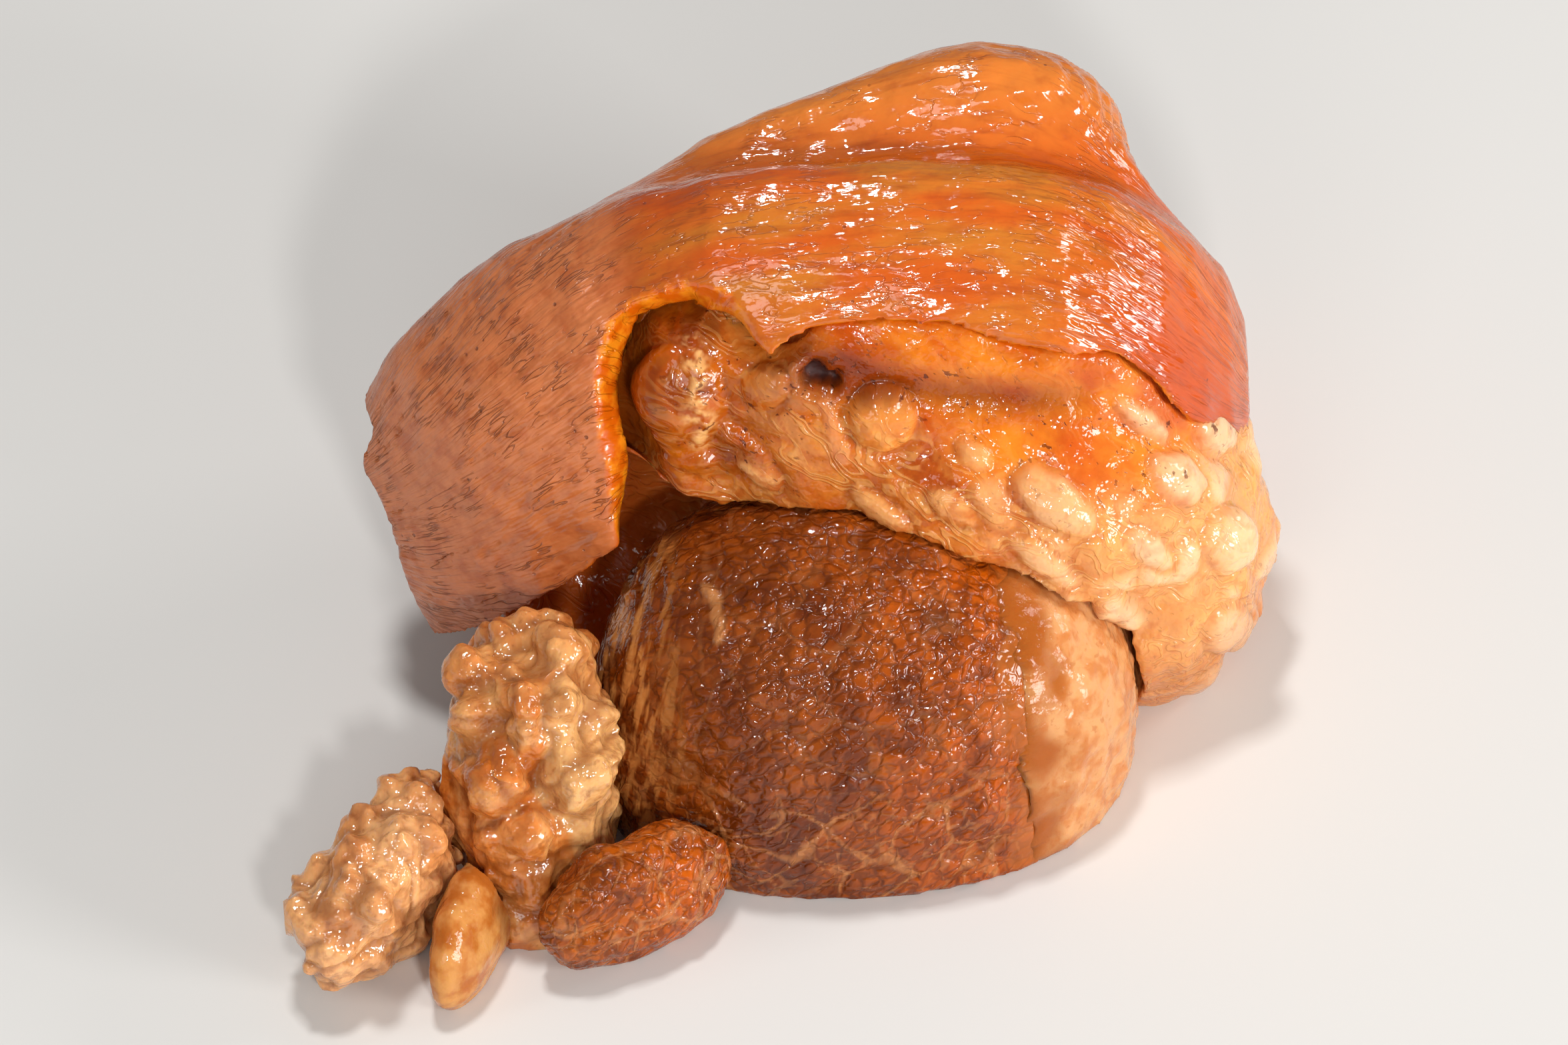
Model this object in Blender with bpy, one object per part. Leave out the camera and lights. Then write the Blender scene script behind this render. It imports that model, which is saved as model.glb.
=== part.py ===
"""Braised pork knuckle, one carved piece: skin with a hanging flap, fat, lean, sinew and gristle.

The piece lies on a flat base.  +X runs along the skin's fold, -Y is the carved front where fat and
lean show, +Z is up.  Lengths are millimetres measured from a point on the front of the lean, and
`add_object` turns them into metres about the middle of the base.
"""
import math

import bmesh
import bpy
from mathutils import Matrix, Vector, noise

MM = 0.001
ORIGIN = (-1.05, 22.95, -9.0)    # middle of the base, seen from the measuring point
FLOOR = -9.0                     # height of the flat base
GAP = 0.3                        # room left between neighbours
REACH = 60.0                     # how far the plain cutters run past the piece
SHARP_ANGLE = 50.0               # edges bent by more than this stay crisp

# The rounded block under the skin: half sizes about its centre.
DOME_CENTRE = (1.7, 34.0, 8.0)
DOME_SIDE = 38.5
DOME_FRONT = 20.0
DOME_TOP = 36.0
DOME_BACK_LEFT = 12.0
DOME_BACK_RIGHT = 25.0
DOME_WIDENS = (-22.0, 20.0)      # the back changes from one to the other between these x
ROUND_LEFT = 1.75                # roundness of the ends: 2 is an ellipse, more is squarer
ROUND_RIGHT = 3.0
ROUND_BACK = 7.0
BACK_TUCK = 8.6                  # the back roll ends this far short of the right side
LEFT_TAPER = 0.20                # share by which the left end narrows down to the base
SKIN_THICKNESS = 2.8
SKIN_RISE = 0.6                  # the skin's face stands this far in front of the fat
LOBE_INSET = 4.0                 # and that much further inside the arch

# The fold across the top and the swell behind it.
FOLD = dict(y=38.0, depth=5.5, width=3.8, left=(-30.0, 5.0), right=(41.0, 36.0))
SWELL = dict(x=19.0, length=13.0, y=48.0, width=8.0, height=3.2)

# The skin's cut edge seen from the front (x, z): flap, arch, tooth, long edge to the right.
SKIN_EDGE = [
    (-36.8, 16.5), (-33.4, 11.5), (-31.8, 3.0), (-30.0, -3.5), (-23.0, 5.5), (-13.7, 15.5),
    (-14.8, 29.0), (-14.2, 32.4), (-13.1, 34.9), (-11.5, 36.3), (-9.1, 37.6), (-6.3, 38.5),
    (-4.2, 38.7), (-2.8, 38.1), (-1.8, 36.6), (-0.9, 34.4), (-0.3, 33.6), (1.7, 34.9),
    (4.6, 35.7), (9.7, 35.7), (15.2, 34.8), (20.3, 32.4), (24.9, 30.6), (28.9, 29.4),
    (31.9, 25.4), (34.2, 21.1), (36.7, 18.2), (39.4, 13.1),
]
EDGE_SLOPE = 0.3                 # how far back the edge runs as it drops to the base
SLOPE_TOP = 12.5                 # height where it starts to run back

# Muscle under the fat; its right end, inside SINEW_SIDE, is sinew.
MUSCLE = dict(centre=(5.5, 14.0, -2.5), half=(23.0, 16.5, 21.0), tilt=(0.0, 9.0, 0.0), square=2.3,
              around=32, along=20)
SINEW_SIDE = dict(centre=(42.7, 10.0, 0.0), half=(24.0, 60.0, 60.0))

# Fat that swells out in front of the skin, low at the right end and along the edge above it.
HEEL = dict(centre=(29.3, 25.2, 3.5), half=(11.5, 12.5, 15.0), knobs=1.6, grain=0.2, seed=3.0)
BRIM = dict(centre=(20.0, 22.0, 13.5), half=(19.0, 11.3, 12.0), tilt=(0.0, 18.0, 0.0), knobs=0.8,
            grain=0.2, seed=4.0)

# Room behind the flap, and what is cut off the fat and the skin at the left end.
HOLLOW = dict(centre=(-22.0, 12.0, 6.5), half=(22.5, 21.0, 12.0), square=4.0)
FAT_END = dict(centre=(-42.0, 28.0, -1.5), half=(18.0, 40.0, 18.0), square=4.0)
BACK_START = 31.0                # what is behind this and under BACK_EDGE (x, z) is cut off too
BACK_EDGE = [
    (-38.0, 17.6), (-34.5, 17.8), (-31.0, 16.8), (-28.2, 14.4), (-26.2, 10.5), (-24.8, 6.0),
    (-23.6, 1.0), (-22.4, -4.0), (-21.0, -9.5),
]

# Lumps on the left, in the order they are laid down: material, then shape.
LUMPS = {
    "gristle_upper": ("gristle", dict(centre=(-22.2, 5.6, 0.6), half=(7.4, 9.0, 13.5),
                                      tilt=(-26.0, 0.0, 0.0), square=2.7, knobs=2.2, grain=0.19,
                                      seed=1.0)),
    "gristle_lower": ("gristle", dict(centre=(-35.6, -2.4, -2.3), half=(11.2, 5.2, 7.5),
                                      tilt=(0.0, 0.0, 52.0), knobs=1.8, grain=0.22, seed=5.0)),
    "tendon": ("tendon", dict(centre=(-28.8, -6.2, -5.0), half=(7.2, 2.9, 6.0),
                              tilt=(0.0, 0.0, 68.0), knobs=0.5, grain=0.15, seed=7.0)),
    "lean_strand": ("lean", dict(centre=(-14.6, -4.4, -3.8), half=(9.2, 4.2, 6.6),
                                 tilt=(0.0, 0.0, 28.0), knobs=0.8, grain=0.2, seed=9.0)),
}

# Linear colour and roughness of each material.
LOOKS = {
    "skin": ((0.70, 0.19, 0.035), 0.30),
    "fat": ((0.83, 0.36, 0.10), 0.30),
    "lean": ((0.21, 0.055, 0.018), 0.40),
    "sinew": ((0.78, 0.47, 0.27), 0.30),
    "gristle": ((0.80, 0.42, 0.15), 0.35),
    "tendon": ((0.64, 0.25, 0.06), 0.25),
}


# ---------------------------------------------------------------- curves of change

def mix(a, b, share):
    return a + (b - a) * share


def smooth(start, end, value):
    """0 up to `start`, 1 from `end` on, with a soft change between."""
    t = min(max((value - start) / (end - start), 0.0), 1.0)
    return t * t * (3.0 - 2.0 * t)


def bell(value, width):
    return math.exp(-(value / width) ** 2)


# ---------------------------------------------------------------- scene helpers

def clear_scene():
    for thing in list(bpy.data.objects):
        bpy.data.objects.remove(thing, do_unlink=True)


def new_collection(name):
    group = bpy.data.collections.new(name)
    bpy.context.scene.collection.children.link(group)
    return group


def make_material(name, colour, roughness):
    material = bpy.data.materials.new(name)
    material.use_nodes = True
    shader = material.node_tree.nodes["Principled BSDF"]
    shader.inputs["Base Color"].default_value = (*colour, 1.0)
    shader.inputs["Roughness"].default_value = roughness
    shader.inputs["Metallic"].default_value = 0.0
    return material


def add_object(name, shape, group, material=None):
    """Turn a bmesh in millimetres into an object in metres; one with no material is a cutter."""
    bmesh.ops.recalc_face_normals(shape, faces=shape.faces)
    to_metres = Matrix.Diagonal((MM, MM, MM, 1.0)) @ Matrix.Translation(-Vector(ORIGIN))
    bmesh.ops.transform(shape, matrix=to_metres, verts=shape.verts)
    mesh = bpy.data.meshes.new(name)
    shape.to_mesh(mesh)
    shape.free()
    mesh.shade_smooth()
    mesh.set_sharp_from_angle(angle=math.radians(SHARP_ANGLE))
    thing = bpy.data.objects.new(name, mesh)
    group.objects.link(thing)
    if material:
        mesh.materials.append(material)
    else:
        thing.display_type = "WIRE"
        thing.hide_render = True
    return thing


def boolean(thing, cutter, operation="DIFFERENCE"):
    step = thing.modifiers.new(f"{operation.lower()}_{cutter.name}", "BOOLEAN")
    step.operation = operation
    step.solver = "EXACT"
    step.object = cutter


def subtract(thing, *others):
    for other in others:
        boolean(thing, other)


# ---------------------------------------------------------------- shapes

def dome_point(pole, angle, grow):
    """Point of the block's outside: `pole` runs -1..1 along X, and `angle` turns about X from the
    back over the top to the front."""
    toward_back = math.cos(angle)
    back_roll = smooth(0.05, 0.40, toward_back) * smooth(0.0, 0.5, pole) * (pole < 0.9999)
    power = mix(ROUND_LEFT, ROUND_RIGHT, smooth(-0.3, 0.3, pole))
    power = mix(power, ROUND_BACK, back_roll)
    ring = max(1.0 - abs(pole) ** power, 0.0) ** (1.0 / power)
    back, up = ring * toward_back, ring * math.sin(angle)

    low_left = smooth(0.2, -0.5, math.sin(angle)) * smooth(0.0, -0.6, pole)
    taper = LEFT_TAPER * low_left * smooth(-0.3, 0.2, toward_back)
    x = DOME_CENTRE[0] + (DOME_SIDE - BACK_TUCK * back_roll + grow) * pole * (1.0 - taper)
    back_half = mix(DOME_BACK_LEFT, DOME_BACK_RIGHT, smooth(*DOME_WIDENS, x))
    y = DOME_CENTRE[1] + ((back_half if back > 0.0 else DOME_FRONT) + grow) * back
    z = DOME_CENTRE[2] + (DOME_TOP + grow) * up + top_relief(x, y) * smooth(0.0, 0.5, up)
    return Vector((x, y, z))


def top_relief(x, y):
    """How much the fold lowers the top and the swell raises it."""
    along_fold = smooth(*FOLD["left"], x) * smooth(*FOLD["right"], x)
    fold = FOLD["depth"] * along_fold * bell(y - FOLD["y"], FOLD["width"])
    along_swell = bell(x - SWELL["x"], SWELL["length"])
    swell = SWELL["height"] * along_swell * bell(y - SWELL["y"], SWELL["width"])
    return swell - fold


def dome(grow=0.0, inset=0.0, around=44, along=20, fold_turn=76.0, crowd=0.45):
    """The block's outside, a ball whose poles lie along X and whose rows crowd together at the
    fold; `inset` sets its front back inside the arch."""
    shape = bmesh.new()
    bmesh.ops.create_uvsphere(shape, u_segments=around, v_segments=along, radius=1.0)
    for vert in shape.verts:
        turn = math.atan2(vert.co.y, vert.co.x)
        angle = turn - crowd * math.sin(turn - math.radians(fold_turn))
        spot = dome_point(vert.co.z, angle, grow)
        in_arch = smooth(0.0, -0.6, math.cos(angle)) * smooth(4.0, -3.0, spot.x)
        spot.y = mix(spot.y, DOME_CENTRE[1], inset / DOME_FRONT * in_arch)
        vert.co = spot
    return shape


def turned(tilt):
    """Rotation by `tilt` degrees about X, then Y, then Z."""
    turn = Matrix.Identity(3)
    for degrees, axis in zip(tilt, "XYZ"):
        turn = Matrix.Rotation(math.radians(degrees), 3, axis) @ turn
    return turn


def block(centre, half):
    shape = bmesh.new()
    bmesh.ops.create_cube(shape, size=2.0)
    bmesh.ops.scale(shape, verts=shape.verts, vec=half)
    bmesh.ops.translate(shape, verts=shape.verts, vec=centre)
    return shape


def ball(centre, half, grow=0.0, around=20, along=14, tilt=(0.0, 0.0, 0.0), square=2.0, knobs=0.0,
         grain=1.0, seed=0.0):
    """An ellipsoid; `square` above 2 fills its corners, and `knobs` is the height of its lumps,
    about 1/`grain` wide."""
    shape = bmesh.new()
    bmesh.ops.create_uvsphere(shape, u_segments=around, v_segments=along, radius=1.0)
    turn = turned(tilt)
    for vert in shape.verts:
        unit = vert.co / sum(abs(c) ** square for c in vert.co) ** (1.0 / square)
        spot = Vector([u * h for u, h in zip(unit, half)])
        outward = Vector([u / h for u, h in zip(unit, half)]).normalized()
        bump = knobs * noise.noise(spot * grain + Vector((seed, 2.0 * seed, 0.0)))
        vert.co = turn @ (spot + outward * (bump + grow)) + Vector(centre)
    return shape


def widen(points, distance):
    """Move an open outline sideways by `distance`, to its right-hand side."""
    moved = []
    for i, (x, z) in enumerate(points):
        x0, z0 = points[max(i - 1, 0)]
        x1, z1 = points[min(i + 1, len(points) - 1)]
        length = math.hypot(x1 - x0, z1 - z0)
        moved.append((x + distance * (z1 - z0) / length, z - distance * (x1 - x0) / length))
    return moved


def upright_outline(name, outline, middle):
    """An outline given as x and z, filled, extruded over REACH along Y about `middle` and closed."""
    curve = bpy.data.curves.new(name, "CURVE")
    curve.dimensions = "2D"
    curve.fill_mode = "BOTH"
    curve.extrude = REACH / 2.0
    path = curve.splines.new("POLY")
    path.points.add(len(outline) - 1)
    for point, (x, y) in zip(path.points, outline):
        point.co = (x, y, 0.0, 1.0)
    path.use_cyclic_u = True
    drawn = bpy.data.objects.new(name, curve)
    bpy.context.scene.collection.objects.link(drawn)
    view = bpy.context.evaluated_depsgraph_get()
    mesh = bpy.data.meshes.new_from_object(drawn.evaluated_get(view))
    bpy.data.objects.remove(drawn)
    shape = bmesh.new()
    shape.from_mesh(mesh)
    bpy.data.meshes.remove(mesh)
    bmesh.ops.remove_doubles(shape, verts=shape.verts, dist=0.001)
    upright = Matrix.Rotation(math.radians(90.0), 4, "X")
    to_middle = Matrix.Translation((0.0, middle, 0.0))
    bmesh.ops.transform(shape, matrix=to_middle @ upright, verts=shape.verts)
    return shape


def front_cutter(shrink=0.0):
    """All that lies in front of the block's middle and under the skin's edge; its back face runs
    further back toward the base."""
    edge = widen(SKIN_EDGE, shrink)
    outline = [(-REACH, edge[0][1])] + edge + [(REACH, edge[-1][1]), (REACH, -REACH), (-REACH, -REACH)]
    middle = DOME_CENTRE[1] - shrink - REACH / 2.0
    shape = upright_outline("front_outline", outline, middle)
    everything = [*shape.verts, *shape.edges, *shape.faces]
    start, up = (0.0, 0.0, SLOPE_TOP), (0.0, 0.0, 1.0)
    bmesh.ops.bisect_plane(shape, geom=everything, plane_co=start, plane_no=up)
    for vert in shape.verts:
        if vert.co.y > middle:
            vert.co.y += EDGE_SLOPE * max(SLOPE_TOP - vert.co.z, 0.0)
    return shape


def back_cutter():
    """All that lies behind BACK_START and under BACK_EDGE, at the left end."""
    left = [(-REACH, -REACH), (-REACH, BACK_EDGE[0][1])]
    outline = left + BACK_EDGE + [(BACK_EDGE[-1][0], -REACH)]
    return upright_outline("back_outline", outline, BACK_START + REACH / 2.0)


# ---------------------------------------------------------------- sub-parts

def build_skin(piece, cutters, look, base):
    """Skin as the layer between two domes, cut along its edge; returns the room it takes."""
    skin = add_object("skin", dome(), piece, look)
    inside = add_object("inside_of_skin", dome(grow=-SKIN_THICKNESS), cutters)
    front = add_object("under_skin_edge", front_cutter(), cutters)
    back_end = add_object("back_end", back_cutter(), cutters)
    subtract(skin, inside, front, back_end, base)

    room = add_object("skin_room", dome(grow=SKIN_RISE + GAP), cutters)
    inside_room = add_object("inside_of_skin_room", dome(grow=-SKIN_THICKNESS - GAP), cutters)
    front_room = add_object("under_skin_edge_room", front_cutter(shrink=GAP), cutters)
    subtract(room, inside_room, front_room)
    return room


def build_muscle(piece, cutters, looks, base):
    """Lean and the sinew at its right end; returns the room they take together."""
    sinew_side = add_object("sinew_side", ball(**SINEW_SIDE), cutters)
    sinew_room = add_object("sinew_side_room", ball(grow=GAP, **SINEW_SIDE), cutters)
    lean = add_object("lean", ball(**MUSCLE), piece, looks["lean"])
    subtract(lean, sinew_room, base)
    sinew = add_object("sinew", ball(**MUSCLE), piece, looks["sinew"])
    boolean(sinew, sinew_side, "INTERSECT")
    subtract(sinew, base)
    return add_object("muscle_room", ball(grow=GAP, **MUSCLE), cutters)


def build_fat(piece, cutters, look, neighbours):
    """Fat under the skin with its two swellings, hollow behind the flap."""
    fat = add_object("fat", dome(grow=-SKIN_RISE, inset=LOBE_INSET), piece, look)
    for name, shape in (("heel", HEEL), ("brim", BRIM)):
        boolean(fat, add_object(name, ball(**shape), cutters), "UNION")
    hollow = add_object("hollow", ball(**HOLLOW), cutters)
    front_end = add_object("fat_front_end", ball(**FAT_END), cutters)
    back_end = add_object("fat_back_end", back_cutter(), cutters)
    subtract(fat, hollow, front_end, back_end, *neighbours)


def build_lumps(piece, cutters, looks, neighbours, base):
    """Gristle, tendon and the loose strand of lean; each gives way to all laid before it."""
    laid = list(neighbours)
    for name, (look, shape) in LUMPS.items():
        lump = add_object(name, ball(**shape), piece, looks[look])
        subtract(lump, *laid, base)
        laid.append(add_object(name + "_room", ball(grow=GAP, **shape), cutters))


def build():
    clear_scene()
    piece = new_collection("braised_pork_knuckle")
    cutters = new_collection("cutters")
    looks = {name: make_material(name, *values) for name, values in LOOKS.items()}
    below = block((0.0, DOME_CENTRE[1], FLOOR - REACH), (REACH, REACH, REACH))
    base = add_object("below_the_base", below, cutters)
    skin_room = build_skin(piece, cutters, looks["skin"], base)
    muscle_room = build_muscle(piece, cutters, looks, base)
    build_fat(piece, cutters, looks["fat"], (skin_room, muscle_room, base))
    build_lumps(piece, cutters, looks, (muscle_room, skin_room), base)


build()
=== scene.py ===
# %% [markdown]
# # A carved piece of braised pork knuckle
#
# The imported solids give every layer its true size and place, but they are smooth and coarse. Here
# each layer gets a fine surface of its own: wrinkled glossy skin, soft fat in lobules, lean crossed
# by pale membranes, and knobbly gristle. The forms are worked out as numbers over each surface with
# numpy, and the same numbers are kept as masks, so the colours follow the shapes.

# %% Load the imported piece
import itertools
import math

import bpy
import numpy as np
from mathutils import Matrix, Vector
from mathutils.kdtree import KDTree


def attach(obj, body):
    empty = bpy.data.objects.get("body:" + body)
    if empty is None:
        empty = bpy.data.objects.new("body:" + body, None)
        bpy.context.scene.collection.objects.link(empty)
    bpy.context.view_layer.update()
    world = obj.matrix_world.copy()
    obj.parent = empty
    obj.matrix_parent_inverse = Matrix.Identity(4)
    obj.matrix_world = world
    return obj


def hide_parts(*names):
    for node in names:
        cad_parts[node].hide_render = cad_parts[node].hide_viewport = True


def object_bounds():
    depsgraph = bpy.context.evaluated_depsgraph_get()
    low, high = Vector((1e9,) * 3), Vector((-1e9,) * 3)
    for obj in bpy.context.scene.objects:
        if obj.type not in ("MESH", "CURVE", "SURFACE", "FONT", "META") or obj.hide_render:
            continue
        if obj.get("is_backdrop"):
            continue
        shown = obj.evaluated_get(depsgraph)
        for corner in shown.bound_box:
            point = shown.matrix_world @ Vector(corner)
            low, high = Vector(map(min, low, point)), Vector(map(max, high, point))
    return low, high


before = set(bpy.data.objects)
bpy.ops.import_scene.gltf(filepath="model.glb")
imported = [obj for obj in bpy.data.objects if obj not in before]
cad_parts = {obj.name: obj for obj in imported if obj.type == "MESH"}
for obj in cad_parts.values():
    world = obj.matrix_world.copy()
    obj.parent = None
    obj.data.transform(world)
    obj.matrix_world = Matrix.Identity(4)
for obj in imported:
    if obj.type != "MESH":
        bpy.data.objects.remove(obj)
cad_box = [list(corner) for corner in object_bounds()]
MM = 0.001
LOW, HIGH = (np.array(corner) / MM for corner in cad_box)
print("layers:", ", ".join(sorted(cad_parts)))

# %% [markdown]
# ## Camera
#
# The piece is seen from its carved front and well above, slightly rolled. A Track To constraint
# would keep the horizon level, so the camera's three directions are worked out.

# %% Camera
VIEW_HEIGHT = math.radians(46.4)
VIEW_ROLL = math.radians(4.3)
VIEW_DISTANCE = 2.2  # metres
LENS = 607.0  # millimetres
aim = Vector((0.0011, -0.0054, 0.0257))

level = Vector((1.0, 0.0, 0.0))
upward = Vector((0.0, math.sin(VIEW_HEIGHT), math.cos(VIEW_HEIGHT)))
right = level * math.cos(VIEW_ROLL) - upward * math.sin(VIEW_ROLL)
up = level * math.sin(VIEW_ROLL) + upward * math.cos(VIEW_ROLL)
toward_viewer = right.cross(up)

camera = bpy.data.objects.new("camera", bpy.data.cameras.new("camera"))
bpy.context.scene.collection.objects.link(camera)
camera.matrix_world = Matrix.Translation(aim + toward_viewer * VIEW_DISTANCE) @ Matrix(
    (right, up, toward_viewer)).transposed().to_4x4()
camera.data.lens = LENS
camera.data.clip_start = 0.01
bpy.context.scene.camera = camera
print("camera", [round(c, 3) for c in camera.location])

# %% [markdown]
# ## Floor and light
#
# A plain pale floor and soft white lights. Wet meat is read from its highlights, so each light is
# placed for one: a low one rakes along the skin, a weaker one draws the right edge, two catch the
# carved front, one lights the top. An even sky alone would leave the meat dull.

# %% Floor
FLOOR_HALF = 3.0  # metres
corners = [(-FLOOR_HALF, -FLOOR_HALF, 0.0), (FLOOR_HALF, -FLOOR_HALF, 0.0),
           (FLOOR_HALF, FLOOR_HALF, 0.0), (-FLOOR_HALF, FLOOR_HALF, 0.0)]
floor_mesh = bpy.data.meshes.new("floor")
floor_mesh.from_pydata(corners, [], [(0, 1, 2, 3)])
floor = bpy.data.objects.new("floor", floor_mesh)
bpy.context.scene.collection.objects.link(floor)
floor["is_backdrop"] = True
print("floor", 2.0 * FLOOR_HALF, "m wide")

# %% Lights
# Each panel: where it stands as seen from the piece, how far off, its side in metres and its watts.
PANELS = {
    "overhead": ((-0.05, 0.12, 1.0), 0.9, 0.11, 3.4),
    "right": ((0.8, -0.55, 0.22), 0.8, 0.26, 4.2),
    "right_rim": ((0.86, 0.2, 0.42), 0.8, 0.2, 1.1),
    "front": ((0.1, -0.82, 0.56), 0.9, 0.07, 2.6),
    "front_glow": ((-0.2, -0.8, 0.56), 0.9, 0.3, 0.9),
}
SKY_STRENGTH = 0.2


def softbox(name, toward, distance, size, power):
    """A square white panel `distance` metres away that faces the piece."""
    lamp = bpy.data.lights.new(name, "AREA")
    lamp.shape = "SQUARE"
    lamp.size = size
    lamp.energy = power
    panel = bpy.data.objects.new(name, lamp)
    bpy.context.scene.collection.objects.link(panel)
    direction = Vector(toward).normalized()
    panel.location = aim + direction * distance
    panel.rotation_euler = direction.to_track_quat("Z", "Y").to_euler()


for panel_name, panel_facts in PANELS.items():
    softbox(panel_name, *panel_facts)

world = bpy.data.worlds.new("studio")
world.use_nodes = True
sky = world.node_tree.nodes["Background"]
sky.inputs["Color"].default_value = (1.0, 1.0, 1.0, 1.0)
sky.inputs["Strength"].default_value = SKY_STRENGTH
bpy.context.scene.world = world
bpy.context.scene.view_settings.view_transform = "Standard"
print("lights:", ", ".join(PANELS))

# %% [markdown]
# ## Numbers that wander over a surface
#
# Soft tissue swells and sinks without a beat, and so does gradient noise: every corner of a grid
# has a random slope, and the slopes ease into each other. Blender's noise() answers one place at a
# time, so it is written here with numpy for all places at once. Places are in millimetres.

# %% Smooth noise
WANDER_GAIN = 1.8  # brings the noise to about -1 to 1


def lattice(whole, seed):
    """A steady random number, 0 to 1, for each whole-number place."""
    mixed = whole[..., 0] * 73856093 ^ whole[..., 1] * 19349663 ^ whole[..., 2] * 83492791
    mixed = (mixed ^ seed * 668265263) & 0xFFFFFFFF
    mixed = (mixed ^ mixed >> 15) * 0x2C1B3C6D & 0xFFFFFFFF
    mixed = (mixed ^ mixed >> 12) * 0x297A2D39 & 0xFFFFFFFF
    return (mixed ^ mixed >> 15) / 0xFFFFFFFF


def wander(places, size, seed=0):
    """Gradient noise, about -1 to 1, with swells `size` mm wide."""
    spot = places / size
    whole = np.floor(spot).astype(np.int64)
    part = spot - whole
    ease = part ** 3 * (part * (part * 6.0 - 15.0) + 10.0)
    total = np.zeros(len(places))
    for corner in itertools.product((0, 1), repeat=3):
        share = np.prod(np.where(corner, ease, 1.0 - ease), axis=1)
        slope = np.stack([lattice(whole + corner, seed + 31 * k) for k in range(3)], axis=1)
        total += share * np.sum((slope * 2.0 - 1.0) * (part - corner), axis=1)
    return total * WANDER_GAIN


def rough(places, size, seed=0, layers=3):
    """Noise with finer layers on top."""
    return sum(wander(places, size / 2.0 ** k, seed + k) / 2.0 ** k for k in range(layers))


def warped(places, size, amount, seed=0):
    """The places, each moved a little, so that patterns laid over them lose their regularity."""
    moves = np.stack([wander(places, size, seed + 5 * k) for k in range(3)], axis=1)
    return places + amount * moves


diagonal = np.linspace(LOW, HIGH, 1000)
print(f"noise across the piece: up to {wander(diagonal, 4.0).max():.2f}")

# %% [markdown]
# ## Lobules packed side by side
#
# Fat and muscle are packed cells: scattered points, a dome around each and a seam where two are
# equally near. A Voronoi texture draws the same, but these numbers can also move the surface.

# %% Packed lobules
FAR = 9.0  # further than any point or rim that counts
DOME_SPREAD = 1.2  # domes end at 1 / this of a cell


def packed(places, size, seed=0):
    """For the scattered points nearest each place: how domed it is there (1 in the middle of
    a lobule), how far from a seam (0 on it), and a random number for the lobule."""
    spot = places / size
    whole = np.floor(spot).astype(np.int64)
    nearest = np.full(len(places), FAR)
    second = np.full(len(places), FAR)
    tone = np.zeros(len(places))
    for step in itertools.product((-1, 0, 1), repeat=3):
        cell = whole + step
        point = cell + np.stack([lattice(cell, seed + 17 * k) for k in range(3)], axis=1)
        gap = np.linalg.norm(spot - point, axis=1)
        closer = gap < nearest
        second = np.where(closer, nearest, np.minimum(second, gap))
        tone = np.where(closer, lattice(cell, seed + 99), tone)
        nearest = np.where(closer, gap, nearest)
    return 1.0 - np.clip(nearest * DOME_SPREAD, 0.0, 1.0) ** 2, second - nearest, tone


print(f"4 mm lobules fill {np.mean(packed(diagonal, 4.0)[1] > 0.1):.0%}, seams the rest")

# %% [markdown]
# ## Where a thing begins and how far it reaches
#
# A form on soft food never starts at a line, so each is faded in over a few millimetres: first the
# distance to a point, a line or an edge is measured, then `fade` turns it into a share.

# %% Fades and distances
def fade(start, end, value):
    """0 up to `start` and 1 from `end` on, with a soft change between; either order works."""
    t = np.clip((value - start) / (end - start), 0.0, 1.0)
    return t * t * (3.0 - 2.0 * t)


LUMP_DEPTH = 5.0  # how far a listed lump reaches along the third measure, in mm


def distance_to(places, others, reach):
    """How far each place is from the nearest of the others, up to `reach` mm."""
    tree = KDTree(len(others))
    for index, other in enumerate(others):
        tree.insert(other, index)
    tree.balance()
    found = np.full(len(places), reach)
    low, high = others.min(axis=0) - reach, others.max(axis=0) + reach
    for index in np.flatnonzero(np.all((places > low) & (places < high), axis=1)):
        found[index] = min(tree.find(places[index])[2], reach)
    return found


def distance_to_line(places, points):
    """How far each place is from a line through the points."""
    found = np.full(len(places), np.inf)
    for start, end in zip(np.array(points[:-1]), np.array(points[1:])):
        run = end - start
        share = np.clip((places - start) @ run / (run @ run), 0.0, 1.0)
        found = np.minimum(found, np.linalg.norm(places - start - share[:, None] * run, axis=1))
    return found


def listed_lumps(places, listed, seed):
    """Single flat lumps, each a middle, its half sizes along the first two measures of `places`
    and its rise. Gives their heights, how far inside one each place is, and how far from a rim."""
    height = np.zeros(len(places))
    inside = np.zeros(len(places))
    rim = np.full(len(places), FAR)
    for number, (middle, (along, across), rise) in enumerate(listed):
        reach = np.linalg.norm((places - middle) / (along, across, LUMP_DEPTH), axis=1)
        reach += 0.14 * wander(places, 0.8 * across, seed + number)
        height = np.maximum(height, rise * np.maximum(1.0 - reach ** 2, 0.0) ** 0.7)
        inside = np.maximum(inside, fade(1.15, 0.45, reach))
        rim = np.minimum(rim, np.abs(reach - 1.0) * min(along, across))
    return height, inside, rim


def around(value, middle, width):
    """1 where the value is `middle`, dying away over `width` on both sides."""
    return np.exp(-((value - middle) / width) ** 2)


def unit(vectors):
    """The same directions, one long; a vector of no length stays as it is."""
    return vectors / (np.linalg.norm(vectors, axis=1)[:, None] + 1e-6)


print(f"a quarter of the way, fade gives {fade(0.0, 4.0, 1.0):.2f}")

# %% [markdown]
# ## A fine body from a coarse solid
#
# Voxel remeshing turns a coarse solid into fine even squares. Smoothing takes away its facets but
# would shrink it, so each step in is followed by a slightly larger one out (Taubin's method).

# %% Fine bodies
STEP_IN, STEP_OUT = 0.5, -0.52  # shares of the way to the neighbours' mean
BASE_HEIGHT = 1.2  # mm above the floor from which the relief is whole
USUAL_LEVEL = 70  # percent of the points that lie below the solid's surface


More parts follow.
